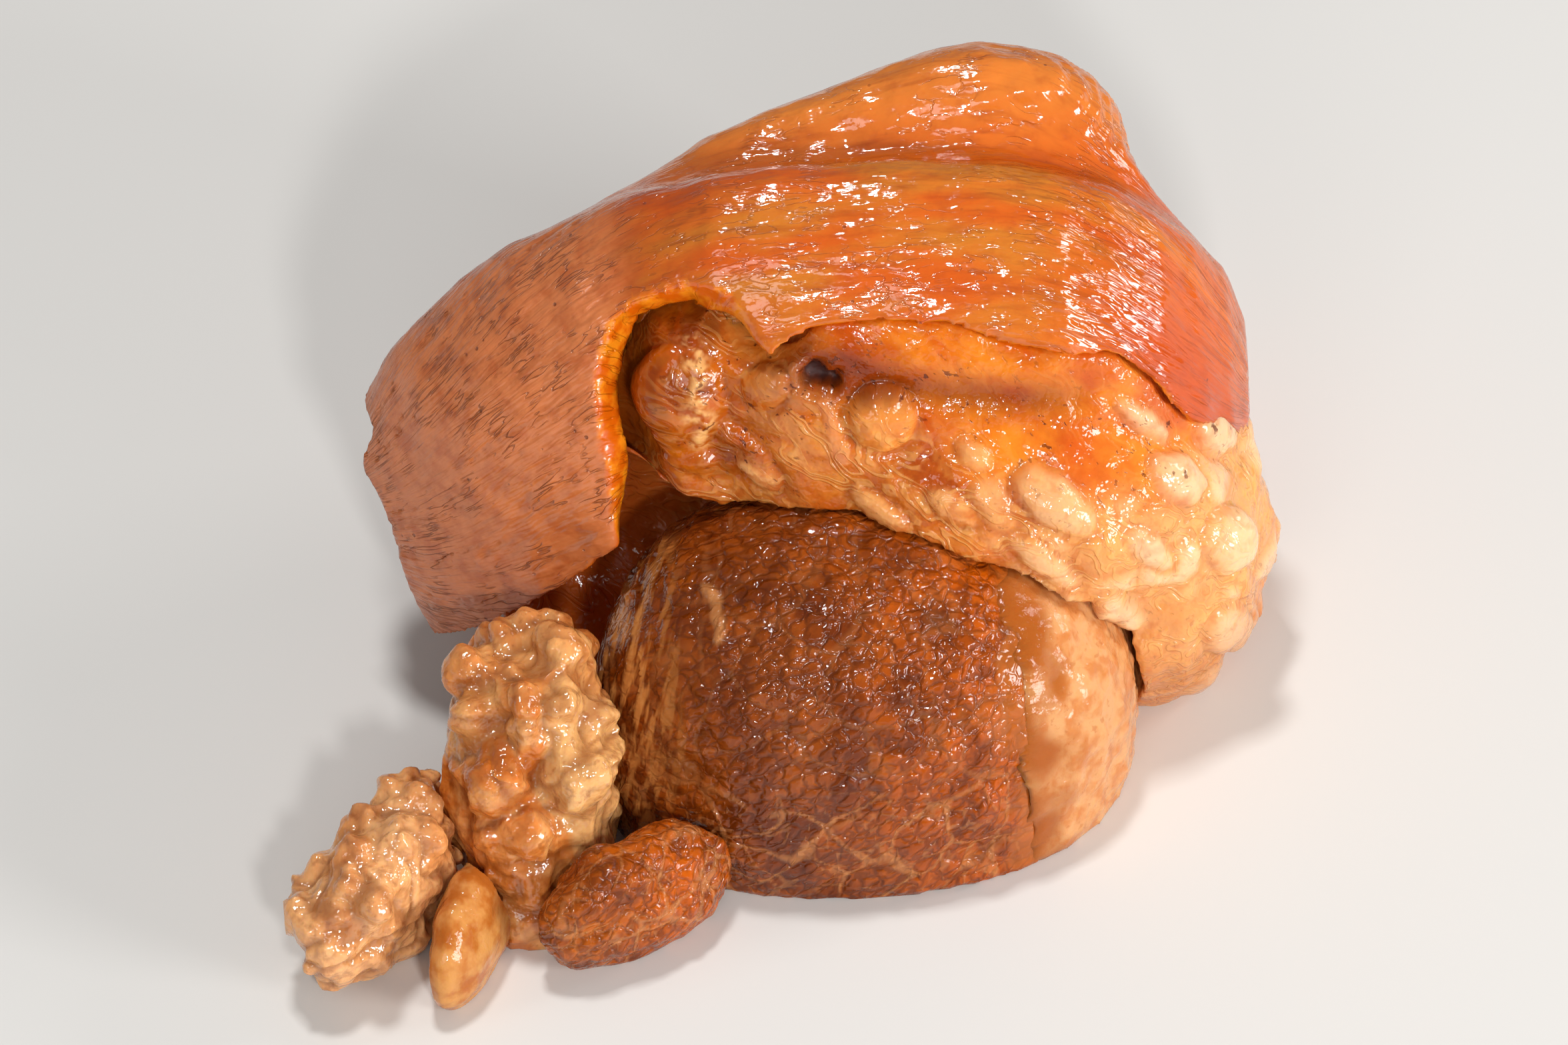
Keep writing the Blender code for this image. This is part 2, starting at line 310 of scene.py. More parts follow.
def read(parts, field, width, kind=np.float32):
    """Numbers of a mesh, `width` of them for each of its parts."""
    flat = np.empty(len(parts) * width, dtype=kind)
    parts.foreach_get(field, flat)
    return flat.reshape(-1, width)


class Body:
    """A fine copy of a CAD node, with its points and outward directions in millimetres."""

    def __init__(self, name, node, grid, rounds):
        self.piece = bpy.data.objects.new(name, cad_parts[node].data.copy())
        bpy.context.scene.collection.objects.link(self.piece)
        remesh = self.piece.modifiers.new("grid", "REMESH")
        remesh.mode = "VOXEL"
        remesh.voxel_size = grid * MM
        bpy.context.view_layer.update()
        depsgraph = bpy.context.evaluated_depsgraph_get()
        self.mesh = bpy.data.meshes.new_from_object(self.piece.evaluated_get(depsgraph))
        self.piece.modifiers.clear()
        self.piece.data = self.mesh
        self.mesh.materials.clear()
        self.node = node
        self.edges = read(self.mesh.edges, "vertices", 2, np.int32)
        places = read(self.mesh.vertices, "co", 3).astype(np.float64) / MM
        for share in (STEP_IN, STEP_OUT) * rounds:
            places = places + share * (self.neighbours(places) - places)
        self.place(places)

    def neighbours(self, values):
        """The mean of each point's neighbours, for numbers or for vectors."""
        columns = values.reshape(len(values), -1).T
        first, second = self.edges.T
        count = np.bincount(self.edges.ravel(), minlength=len(values))
        means = [(np.bincount(first, column[second], len(values))
                  + np.bincount(second, column[first], len(values))) / count for column in columns]
        return np.stack(means, axis=1).reshape(values.shape)

    def spread(self, values, rounds):
        """Blur numbers or vectors over the surface."""
        for _ in range(rounds):
            values = 0.5 * values + 0.5 * self.neighbours(values)
        return values

    def place(self, places):
        """Put the points at these places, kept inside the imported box."""
        places = np.clip(places, LOW, HIGH)
        self.mesh.vertices.foreach_set("co", (places * MM).astype(np.float32).ravel())
        self.mesh.update()
        self.out = read(self.mesh.vertex_normals, "vector", 3).astype(np.float64)
        self.at = places

    def swell(self, height):
        """Move each point outward by its height in mm; the flat base stays flat."""
        keep = fade(0.0, BASE_HEIGHT, self.at[:, 2])
        self.place(self.at + self.out * (height * keep)[:, None])

    def swell_level(self, height, level=USUAL_LEVEL):
        """Swell with the `level` percent mark of the heights left where the solid's surface is."""
        self.swell(height - np.percentile(height, level))

    def keep(self, **masks):
        """Keep numbers or vectors on the points for the finish to read."""
        for name, values in masks.items():
            kind, field = ("FLOAT", "value") if values.ndim == 1 else ("FLOAT_VECTOR", "vector")
            kept = self.mesh.attributes.new(name, kind, "POINT")
            kept.data.foreach_set(field, values.astype(np.float32).ravel())

    def dress(self, finish):
        """Give the body its finish and let it stand in for its solid."""
        self.mesh.materials.append(finish.material)
        self.mesh.shade_smooth()
        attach(self.piece, "root")
        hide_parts(self.node)
        print(self.piece.name, len(self.mesh.polygons) * 2, "triangles")


print("solids to refine:", len(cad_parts))

# %% [markdown]
# ## Colours and tones
#
# Colours are 0 to 255 numbers, made linear for the shader. What varies over a surface is a `Tone`,
# a socket that adds and multiplies with Python's own signs instead of Math nodes made one by one.

# %% Colours and tones
def srgb(red, green, blue):
    """Linear colour of an ordinary 0 to 255 colour."""
    parts = (c / 255.0 for c in (red, green, blue))
    return (*(c / 12.92 if c <= 0.04045 else ((c + 0.055) / 1.055) ** 2.4 for c in parts), 1.0)


class Tone:
    """A number that varies over a surface; + - * add Math nodes."""

    def __init__(self, finish, socket):
        self.finish = finish
        self.socket = socket

    def math(self, operation, first, second=0.0):
        made = self.finish.node("Math", {"operation": operation}, {0: first, 1: second})
        return Tone(self.finish, made.outputs[0])

    def __add__(self, other):
        return self.math("ADD", self, other)

    def __sub__(self, other):
        return self.math("SUBTRACT", self, other)

    def __rsub__(self, other):
        return self.math("SUBTRACT", other, self)

    def __mul__(self, other):
        return self.math("MULTIPLY", self, other)

    __radd__ = __add__
    __rmul__ = __mul__

    def off(self, level):
        """How far the number is from `level`, either way."""
        return self.math("ABSOLUTE", self - level)

    def between(self, low, high):
        """0 at `low`, 1 at `high`, with a soft change between; either order works."""
        made = self.finish.node("MapRange", {"interpolation_type": "SMOOTHSTEP"}, {
            "Value": self, "From Min": low, "From Max": high, "To Min": 0.0, "To Max": 1.0})
        return Tone(self.finish, made.outputs[0])


print("middle grey, linear:", round(srgb(128, 128, 128)[0], 3))

# %% [markdown]
# ## A wet finish
#
# Every finish is the Principled shader: wet, so nearly mirror-smooth but for its fine relief, with
# light let in under the surface. Painted images would be bound to one size; noise stays sharp.

# %% Wet finish
GLOW_RADIUS = (1.0, 0.35, 0.12)  # red light goes deepest
WET_IOR = 1.42
NOISE_ROUGHNESS = 0.55
LINE_WIDTH = 0.03  # of drawn lines, in units of noise


class Finish:
    """One wet, translucent material."""

    def __init__(self, name, depth=1.0, glow=0.0, gloss=0.35):
        self.material = bpy.data.materials.new(name)
        self.material.use_nodes = True
        self.tree = self.material.node_tree
        self.shader = self.tree.nodes["Principled BSDF"]
        constants = {
            "Subsurface Weight": glow, "Subsurface Radius": GLOW_RADIUS,
            "Subsurface Scale": depth * MM, "IOR": WET_IOR, "Specular IOR Level": gloss}
        for socket, value in constants.items():
            self.shader.inputs[socket].default_value = value

    def node(self, kind, settings=None, values=None):
        """A node of any kind: its settings first, then the numbers or links of its sockets."""
        made = self.tree.nodes.new("ShaderNode" + kind)
        for name, setting in (settings or {}).items():
            setattr(made, name, setting)
        for name, value in (values or {}).items():
            self.put(made.inputs[name], value)
        return made

    def put(self, socket, value):
        """Set a socket to a number or colour, or link a tone or another socket to it."""
        value = value.socket if isinstance(value, Tone) else value
        if isinstance(value, bpy.types.NodeSocket):
            self.tree.links.new(value, socket)
        else:
            socket.default_value = value

    def mask(self, name):
        """Numbers kept on the points."""
        return Tone(self, self.node("Attribute", {"attribute_name": name}).outputs["Fac"])

    def run(self, name, stretch=(1.0, 1.0, 1.0)):
        """Places in mm kept on the points as vectors, squeezed by `stretch`."""
        kept = self.node("Attribute", {"attribute_name": name}).outputs["Vector"]
        return self.node("VectorMath", {"operation": "MULTIPLY"}, {0: kept, 1: stretch}).outputs[0]

    def place(self):
        """Places in mm."""
        here = self.node("TexCoord").outputs["Object"]
        per_mm = (1.0 / MM,) * 3
        return self.node("VectorMath", {"operation": "MULTIPLY"}, {0: here, 1: per_mm}).outputs[0]

    def moved(self, vector, size, amount):
        """Places moved about by up to `amount` mm, so that cells and lines wriggle."""
        noise = self.node("TexNoise", {}, {"Vector": vector, "Scale": 1.0 / size, "Detail": 2.0})
        return self.node("VectorMath", {"operation": "MULTIPLY_ADD"}, {
            0: noise.outputs["Color"], 1: (amount, amount, amount), 2: vector}).outputs[0]

    def noise(self, size, vector=None, detail=3.0):
        """Noise with features `size` mm wide."""
        made = self.node("TexNoise", {}, {
            "Vector": vector or self.place(), "Scale": 1.0 / size, "Detail": detail,
            "Roughness": NOISE_ROUGHNESS})
        return Tone(self, made.outputs["Fac"])

    def seams(self, size, vector):
        """How far each place is from the seams between cells `size` mm wide, in mm."""
        made = self.node("TexVoronoi", {"feature": "DISTANCE_TO_EDGE"}, {
            "Vector": vector, "Scale": 1.0 / size})
        return Tone(self, made.outputs["Distance"]) * size

    def outlines(self, noise, levels):
        """Thin closed lines where the noise crosses each of the levels."""
        lines = [noise.off(level).between(LINE_WIDTH, 0.4 * LINE_WIDTH) for level in levels]
        return sum(lines[1:], lines[0])

    def dots(self, size):
        """How far each place is from scattered points about `size` mm apart, in mm."""
        made = self.node("TexVoronoi", {}, {"Vector": self.place(), "Scale": 1.0 / size})
        return Tone(self, made.outputs["Distance"]) * size

    def mix(self, share, first, second):
        """The first colour, turned into the second by `share`."""
        first, second = (srgb(*c) if isinstance(c, tuple) else c for c in (first, second))
        return self.node("Mix", {"data_type": "RGBA"}, {0: share, 6: first, 7: second}).outputs[2]

    def glaze(self, colour, *layers):
        """Colours laid over the first one in turn, each by its own share."""
        for share, layer in layers:
            colour = self.mix(share, colour, layer)
        return colour

    def paint(self, colour, roughness, relief=None, height=0.1):
        """Give the shader its colour, roughness and fine relief, whose full height is in mm."""
        self.put(self.shader.inputs["Base Color"], colour)
        self.put(self.shader.inputs["Roughness"], roughness)
        if relief is not None:
            bump = self.node("Bump", {}, {
                "Strength": 1.0, "Distance": height * MM, "Height": relief})
            self.put(self.shader.inputs["Normal"], bump.outputs["Normal"])


floor_finish = Finish("floor", gloss=0.3)
floor_finish.paint(srgb(226, 224, 220), 0.7)
floor.data.materials.append(floor_finish.material)
print("finish made:", floor_finish.material.name)

# %% [markdown]
# ## Skin
#
# Braised rind is a glossy sheet with swells, orange peel and short wrinkles that run along the fold
# and turn down at both ends. So a grain comes first: how far along the fold a point lies, and how
# far around it. The rounded block under the skin has a known middle, so no UV map is needed.

# %% Skin: grain
BLOCK_MIDDLE = np.array([2.75, 11.05, 17.0])
BLOCK_HALF = np.array([38.5, 20.0, 36.0])
ROUND_FOLD = 30.0  # mm around the fold for each radian
# Past these ends the wrinkles turn down, by the bend times the distance squared.
LEFT_END, LEFT_BEND = -4.0, 0.022
RIGHT_END, RIGHT_BEND = 20.0, 0.026


def skin_grain(at):
    """Distances in mm along the fold and around it; wrinkles keep to one distance around."""
    along = at[:, 0]
    _, back, rise = ((at - BLOCK_MIDDLE) / BLOCK_HALF).T
    turn = 0.5 * math.pi - np.arctan2(-back, rise)
    left_turn = LEFT_BEND * np.maximum(LEFT_END - along, 0.0) ** 2
    right_turn = RIGHT_BEND * np.maximum(along - RIGHT_END, 0.0) ** 2
    return np.stack([along, ROUND_FOLD * turn + left_turn + right_turn, np.zeros(len(at))], axis=1)


print("the fold is", 2.0 * BLOCK_HALF[0], "mm long")

# %% [markdown]
# The knife left a clean edge, where the clear jelly inside the rind shows. It is where the surface
# looks sideways from the block's middle. Its rims are smoothed, or the grid would show as steps.

# %% Skin: cut edges
skin = Body("braised_skin", "skin", grid=0.43, rounds=5)
x, y, z = skin.at.T
away = (skin.at - BLOCK_MIDDLE) / BLOCK_HALF ** 2
away /= np.linalg.norm(away, axis=1)[:, None]
facing = np.sum(skin.out * away, axis=1)
front = fade(10.0, 7.0, y)
flap_foot = fade(-14.0, -17.0, x) * fade(29.0, 26.0, z)
carved = np.maximum(front, flap_foot)
limit = 0.05 + 0.5 * carved
face = skin.spread(fade(limit - 0.2, limit + 0.2, facing), 2)
cut = fade(0.7, 0.3, face) * fade(-0.8, -0.5, facing) * carved

rims = skin.spread(4.0 * face * (1.0 - face) * carved, 2)[:, None]
skin.place(skin.at + np.minimum(rims, 1.0) * (skin.spread(skin.at, 4) - skin.at))
print("cut edge", int(np.sum(cut > 0.5)), "points")

# %% [markdown]
# The cut around the arch slopes: its inner rim stands further into the opening, so the jelly shows
# as a band. A Bevel would widen both rims alike, so the cut's deeper points are pushed out.

# %% Skin: rim of the arch
RIM_DEPTH = 2.6  # mm; deeper points go no further than this
arch = fade(-17.0, -14.0, x) * fade(0.9, -1.6, x) * fade(8.0, 6.0, y)
depth = distance_to(skin.at, skin.at[face > 0.9], 6.0)
wall = skin.spread((1.0 - face) * arch * fade(5.0, 3.2, depth), 2)
arch_rim = skin.at[cut * arch > 0.5]
opening = unit(skin.spread(skin.out * (cut * arch)[:, None], 12))
downward = np.clip(-opening[:, 2], 0.0, 1.0)
opening[:, 1] -= 0.8 * downward
opening = unit(opening)
lean_in = (0.75 + 1.1 * downward) * fade(24.0, 31.0, z)
skin.place(skin.at + opening * (lean_in * wall * np.minimum(depth, RIM_DEPTH))[:, None])
print("arch rim", len(arch_rim), "points")

# %% [markdown]
# What is wider than a millimetre is real relief, so that it shows in the outline. Wrinkles lie
# where stretched noise crosses zero, which gives long thin lines that end by themselves; behind the
# fold's right end the skin is drawn into even ripples.

# %% Skin: relief
RIPPLE = 1.5  # mm from one ripple to the next
grain = skin_grain(skin.at)
x, y, z = skin.at.T
flap = fade(-8.0, -14.0, x) * fade(16.0, 10.0, y)
coarse = fade(14.0, 26.0, x) * fade(12.0, 6.0, y)
behind_fold = fade(14.0, 22.0, x) * fade(15.5, 18.0, y) * fade(29.0, 26.0, y)

wrinkle = np.abs(wander(grain, (8.0, 2.2, 1.0), 8))
wrinkle = fade(0.14, 0.0, wrinkle) * fade(0.0, 0.35, wander(grain, (9.0, 4.0, 1.0), 10))
ripple = np.sin(z * 2.0 * math.pi / RIPPLE + 1.2 * wander(grain, 5.0, 12)) * behind_fold
peel = wander(grain, (2.4, 1.5, 1.0), 3)
swells = 0.28 * wander(skin.at, 9.0, 1) + 0.16 * wander(skin.at, 4.2, 2)
height = swells + (0.07 + 0.06 * coarse) * peel - 0.16 * wrinkle * (0.5 + flap)
height += 0.13 * ripple
height -= 0.12  # keeps the skin inside its solid on the whole
skin.swell(skin.spread(face, 3) * height + cut * 0.12 * wander(skin.at, 2.4, 14))

skin.keep(grain=grain, cut=fade(0.75, 0.35, face), flap=flap, coarse=coarse)
print(f"skin relief {height.min():.2f} to {height.max():.2f} mm")

# %% [markdown]
# Deep orange on the front, olive and yellow patches on the ridge, red-brown on the steep left, a
# duller pinkish brown on the flap that is partly its own colour and partly a painted sheen, a
# deeper orange painted as shade in the lower right corner against the pale floor's reflection,
# clear orange jelly on the cut. Each change is one Mix node by a mask or noise, laid in order like
# glazes; pores and dark wrinkles follow the grain.

# %% Skin: colours
rind = Finish("braised_rind", depth=1.2, glow=0.25, gloss=1.0)
where = rind.node("SeparateXYZ", {}, {0: rind.place()})
at_x, at_y, at_z = (Tone(rind, where.outputs[k]) for k in range(3))
patches = rind.noise(8.0, rind.run("grain", (0.4, 1.0, 1.0)))
streaks = rind.noise(1.5, rind.run("grain", (0.16, 1.0, 1.0)))
mottle = rind.noise(1.7)
on_flap = rind.mask("flap")

on_ridge = at_z.between(36.0, 47.0) * at_y.between(16.0, 9.0) * patches.between(0.38, 0.6)
on_back = at_y.between(14.0, 20.0) * (0.3 + at_z.between(30.0, 44.0) * 0.25)
# The lower right corner: painted shade, a deeper orange against the pale floor's reflection.
low_right_shade = at_x.between(20.0, 34.0) * at_y.between(8.0, 0.0)
left_slope = at_x.between(2.0, -22.0) * at_y.between(-3.0, 6.0)
left_slope = left_slope * (1.0 - at_y.between(10.0, 24.0) * 0.6)
wrinkles = rind.noise(1.25, rind.moved(rind.run("grain", (0.4, 1.0, 1.0)), 2.0, 1.4), detail=2.0)
lines = wrinkles.off(0.5).between(0.035, 0.0) * rind.noise(4.5).between(0.44, 0.6)
pores = rind.dots(1.7).between(0.2, 0.1) * rind.noise(3.0).between(0.45, 0.6)

colour = rind.mix(patches.between(0.35, 0.7), (204, 88, 14), (222, 112, 30))
# The flap's pinkish brown: partly its own colour, partly a painted sheen of reflected light.
flap_brown_and_sheen = rind.mix(mottle.between(0.35, 0.65), (216, 128, 76), (200, 114, 64))
jelly_colour = rind.mix(rind.noise(2.0).between(0.4, 0.65), (212, 94, 4), (236, 138, 22))
colour = rind.glaze(
    colour,
    (on_ridge * (0.25 + streaks * 0.7), (190, 122, 34)),
    (on_back, (228, 142, 56)),
    # painted shade in the lower right corner
    (low_right_shade * 0.9, (196, 72, 0)),
    (left_slope, (168, 60, 0)),
    # the flap's own brown with a painted sheen
    (on_flap * 0.85, flap_brown_and_sheen),
    (streaks.between(0.5, 0.7) * (0.45 - on_flap * 0.4), (158, 58, 10)),
    (mottle.between(0.5, 0.75) * 0.3, (170, 62, 12)),
    (lines * (0.3 + on_flap * 0.15), (104, 42, 12)),
    (pores * 0.6, (92, 30, 8)),
    (rind.mask("cut"), jelly_colour))
print("braised rind:", len(rind.tree.nodes), "nodes so far")

# %% [markdown]
# Orange peel is finer than the grid, so it is a Bump node. It breaks each highlight into specks,
# the look of wet skin; on the flap and in the right corner it turns into a sharper crinkle.

# %% Skin: fine relief
peel = rind.noise(1.6, rind.moved(rind.run("grain", (0.7, 1.0, 1.0)), 2.0, 0.8), detail=1.5)
crinkle = rind.noise(0.9, rind.moved(rind.run("grain", (0.45, 1.0, 1.0)), 1.6, 1.0), detail=1.0)
fine = rind.noise(0.5, detail=1.0)
relief = peel * (1.0 - 0.45 * on_flap) + wrinkles * 0.5 + fine * 0.1 - lines * 0.2 - pores * 0.2
relief = relief + (crinkle * 1.2 - lines * 0.4 - pores * 0.4) * on_flap
relief = relief + crinkle * rind.mask("coarse") * 1.7
rind.paint(colour, 0.08 + mottle * 0.06 + on_flap * 0.1, relief, 0.24)
skin.dress(rind)

# %% [markdown]
# ## Fat
#
# Soft fat is a mass of lobules in thin membranes: clear jelly under the skin, pale lobules at the
# right, an amber lobe inside the arch. They all lean down to the right, so places are also measured
# along that lean. Where the arch's rim passes in front, the fat stands back.

# %% Fat: body and regions
FAT_RUN = np.array([[0.755, -0.472, -0.454], [0.655, 0.547, 0.521], [0.0, -0.690, 0.724]])
SET_BACK = 4.6  # mm

fat = Body("braised_fat", "fat", grid=0.385, rounds=8)
x, y, z = fat.at.T
edge = distance_to(fat.at, arch_rim, 6.0)
fat.place(fat.at - fat.spread(fat.out, 15) * (SET_BACK * fade(6.0, 0.8, edge))[:, None])
run = fat.at @ FAT_RUN.T

paling = fade(8.0, 34.0, x - 0.55 * (z - 22.0))
jelly = fade(35.0, 39.0, z + 0.40 * np.maximum(x - 8.0, 0.0) + 1.5 * wander(run, 5.0, 30))
jelly = jelly * fade(3.0, 6.0, x)
arch_lobe = fade(1.0, -2.5, x + 0.3 * (z - 34.0)) * fade(27.0, 31.0, z)
print(f"jelly covers {np.mean(jelly > 0.5):.0%} of the fat's points")

# %% [markdown]
# Two sizes of lobule are packed side by side; one size alone would look like a net. Only some of
# the large ones swell out, more of them at the right, none in the jelly or in the amber lobe.

# %% Fat: packed lobules
bent = warped(run, 5.0, 1.3, 20)
dome, seam, tone = packed(bent, (8.2, 4.8, 4.8), 21)
small_dome, _, small_tone = packed(bent, (3.6, 2.3, 2.3), 22)
chosen = fade(0.75, 0.95, tone + 0.35 * paling) * (1.0 - jelly) * (1.0 - arch_lobe)
lobule = chosen * fade(0.0, 0.4, seam)
height = 0.7 * lobule * dome + 0.14 * small_dome * (1.0 - 0.7 * chosen) * (1.0 - 0.8 * jelly)
height += 0.34 * wander(run, 6.0, 23) + 0.13 * rough(run, 2.4, 24)
print(f"lobules that swell cover {np.mean(chosen > 0.5):.0%}")

# %% [markdown]
# A few lobules are plain to see, each in its own place, where scattered cells would never fall. So
# these are listed: middle, half sizes along the lean and across it, and rise, in mm.

# %% Fat: lobules that stand out
PALE_LOBULES = [
    ((31.2, -1.7, 31.3), (3.4, 1.1), 0.8),
    ((34.3, -6.1, 28.1), (3.2, 2.2), 1.3),
    ((39.1, -6.1, 19.7), (3.6, 3.4), 1.6),
    ((23.6, -9.5, 30.1), (4.4, 2.3), 0.9),
    ((22.5, -11.8, 25.2), (4.0, 1.3), 0.8),
    ((28.5, -10.8, 17.3), (3.4, 1.6), 0.9),
    ((37.5, 1.0, 26.0), (2.6, 2.0), 1.0),
    ((31.3, -9.6, 23.5), (2.6, 1.4), 0.6),
    ((17.3, -6.8, 33.6), (1.9, 1.3), 0.4),
    ((15.0, -9.3, 30.2), (2.6, 1.4), 0.5),
    ((-0.7, -4.2, 30.8), (2.4, 1.1), 0.8),
    ((37.3, -5.9, 9.4), (3.0, 2.6), 1.0),
    ((9.0, -7.9, 28.9), (3.2, 1.1), 0.5),
]
AMBER_LOBULES = [
    ((-7.4, -0.9, 36.6), (4.8, 5.4), 2.2),
    ((0.4, -2.0, 38.6), (2.0, 2.2), 1.1),
    ((-6.6, -2.2, 31.6), (3.4, 1.5), 1.0),
    ((-2.6, -2.6, 33.6), (4.2, 0.9), 0.7),
]
AMBER_CREST = [(-5.6, 0.8, 41.6), (-4.8, -0.4, 39.2), (-5.2, -1.0, 36.6),
               (-4.4, -1.6, 34.6), (-5.4, -2.2, 33.0)]
RIM_WIDTH = 0.3  # mm, the half width of the groove around a listed lobule


def on_run(listed):
    """Listed lobules with their middles in the measures of the fat's run."""
    return [(FAT_RUN @ middle, half, rise) for middle, half, rise in listed]


lump, pale_inside, rim = listed_lumps(run, on_run(PALE_LOBULES), 40)
height = height * (1.0 - 0.75 * pale_inside) + lump - 0.22 * around(rim, 0.0, RIM_WIDTH)
lobule = np.maximum(lobule * fade(0.0, 0.5, rim), pale_inside)
lump, amber_inside, amber_rim = listed_lumps(run, on_run(AMBER_LOBULES), 60)
height = height * (1.0 - 0.6 * amber_inside) + lump - 0.25 * around(amber_rim, 0.0, RIM_WIDTH)
crest = distance_to_line(warped(fat.at, 1.6, 0.5, 65), AMBER_CREST)
height += 0.35 * fade(1.2, 0.2, crest)
seam = np.minimum(seam, np.minimum(rim, amber_rim) * 0.3)
print("listed lobules:", len(PALE_LOBULES), "pale,", len(AMBER_LOBULES), "amber")

# %% [markdown]
# One round lobule sits in a groove, puckered like a bud: half a ball with a wave of seven beats
# around its middle. A separate ball pushed into the fat would leave a hard line.

# %% Fat: round lobule
ROUND_LOBULE = np.array([9.9, -4.9, 36.6])
ROUND_SIZE = 3.0  # mm from its middle to its side
ROUND_RISE = 1.2
ROUND_GROOVE = 3.1  # mm from its middle to the groove
PETALS = 7.0

off_round = fat.at - ROUND_LOBULE
from_round = np.linalg.norm(off_round @ FAT_RUN.T / (1.0, 1.0, 1.4), axis=1)
petal = np.arctan2(off_round @ FAT_RUN[1], off_round @ FAT_RUN[0])
petals = np.cos(petal * PETALS + 1.5 * wander(run, 2.0, 31)) * fade(0.6, 1.8, from_round)
ball = np.sqrt(np.maximum(1.0 - (from_round / ROUND_SIZE) ** 2, 0.0))
round_one = fade(ROUND_SIZE, 2.5, from_round)
height = height * (1.0 - round_one) + round_one * (ROUND_RISE * ball + 0.16 * petals)
height -= 0.4 * around(from_round, ROUND_GROOVE, 0.35)
seam = np.minimum(seam, 0.2 * np.abs(from_round - ROUND_GROOVE))
print("round lobule:", int(np.sum(round_one > 0.5)), "points")

# %% [markdown]
# A cut vein opens in the fat, a small dark hole with a raised lip and a pale tube below it. A
# Boolean would cut sharp edges, so the surface is pressed in, as it is under the skin's edge. Then
# all heights are known, and the fat is swelled once.

# %% Fat: vein, groove and swelling
VEIN_MOUTH = np.array([4.9, -3.0, 40.0])
VEIN = [tuple(VEIN_MOUTH), (5.4, -4.0, 37.6), (5.8, -5.0, 35.1), (6.4, -5.9, 33.2)]

to_mouth = np.linalg.norm((fat.at - VEIN_MOUTH) @ FAT_RUN.T * (0.7, 0.85, 0.5), axis=1)
to_mouth += 0.5 * wander(run, 1.5, 32) + 0.25 * wander(run, 0.8, 34)
mouth = fade(1.15, 0.6, to_mouth)
along_vein = distance_to_line(fat.at, VEIN)
height += 0.35 * around(to_mouth, 1.7, 0.5) - 1.3 * mouth - 0.7 * fade(3.4, 0.8, to_mouth)
height += 0.3 * fade(1.0, 0.3, along_vein) * fade(1.2, 2.2, to_mouth)
under_lip = around(z + 0.24 * x, 41.8, 1.6) * fade(2.0, 5.0, x) * fade(30.0, 22.0, x)
height -= 0.5 * under_lip
fat.swell_level(height)
print(f"fat relief {height.min():.2f} to {height.max():.2f} mm")

# %% [markdown]
# The same numbers are kept on the points, so the colours fall exactly on the forms, which painting
# by hand would not. A few more say where the fat is stained around the vein and where flecks
# gather,
# and where shade is painted: along the arch's rim, under the skin's lip, on the amber lobe's left
# flank, low down, and in the hollow behind the flap.

# %% Fat: masks
# Painted shade: a band along the arch's rim, where the fat stands back behind it, is darkened.
crease = around(edge, 1.6, 1.1) * (edge < 5.9)
near_arch = around(x, -1.5, 4.5) * fade(26.0, 34.0, z)
off_belt = z + 0.45 * x - 44.5 + wander(run, 4.0, 33)
dark_belt = around(off_belt, 0.0, 2.2) * fade(8.0, 12.0, x)
off_stain = (fat.at - VEIN_MOUTH - (0.8, 0.0, 0.4)) * (0.5, 0.9, 0.8)
stain = around(np.linalg.norm(off_stain, axis=1), 0.0, 2.4)
# The hollow behind the flap, painted over in plain brown as shade.
inside = fade(9.0, 3.0, np.abs(x + 18.0) * 0.5) * fade(29.0, 27.0, z) * fade(-9.0, 0.0, y)
inside = inside * fade(0.0, -6.0, x)

fat.keep(
    run=run, seam=seam, lobule=lobule, round=round_one, small_tone=small_tone,
    paling=paling, jelly=jelly, lobe=np.maximum(arch_lobe, amber_inside),
    crest=fade(1.3, 0.3, crest + 0.4 * wander(run, 1.2, 66)),
    # painted shade on the amber lobe's left flank and on the fat low down
    shade=fade(-7.0, -11.0, x) * arch_lobe + fade(15.0, 6.0, z) * 0.8,
    mouth=mouth, vein=fade(0.8, 0.3, along_vein) * fade(1.2, 2.0, to_mouth),
    # The vein's stain, with painted shade under the skin's lip and in the band along the arch's
    # rim.
    stain=np.clip(stain + 0.8 * under_lip + 0.8 * crease, 0.0, 1.0),
    specks=np.clip(0.3 + near_arch + 0.9 * dark_belt + stain, 0.0, 1.0),
    inside=inside)
print("masks kept:", len(fat.mesh.attributes))

# %% [markdown]
# From burnt orange the fat pales to the right. The thin membranes are finer than its points, so
# the finish draws them, as closed lines where noise crosses a few levels.

# %% Fat: colours
fatty = Finish("soft_fat", depth=1.6, glow=0.4, gloss=0.6)
fat_run = fatty.run("run")
clouds = fatty.noise(4.0, fatty.run("run", (0.6, 1.0, 1.0)))
grainy = fatty.noise(1.2, fat_run, detail=2.0)
cells = fatty.moved(fatty.run("run", (0.5, 1.0, 1.0)), 1.8, 1.2)
cells = fatty.noise(2.8, cells, detail=1.0)
membrane = fatty.outlines(cells, (0.42, 0.52, 0.61))
membrane = membrane * fatty.noise(4.0, fat_run).between(0.36, 0.54)
smooth, lobe, lobule, paling = (
    fatty.mask(name) for name in ("jelly", "lobe", "lobule", "paling"))
rough_part = 1.0 - smooth
# The seams between lobules are browner: partly the jelly's own colour, partly painted shade.
seam_tone_and_shade = fatty.mask("seam").between(0.1, 0.02) * rough_part * (0.5 - paling * 0.3)
drawn = membrane * (1.0 - smooth * 0.8) * (1.0 - lobule * 0.6) * (1.0 - lobe * 0.6)

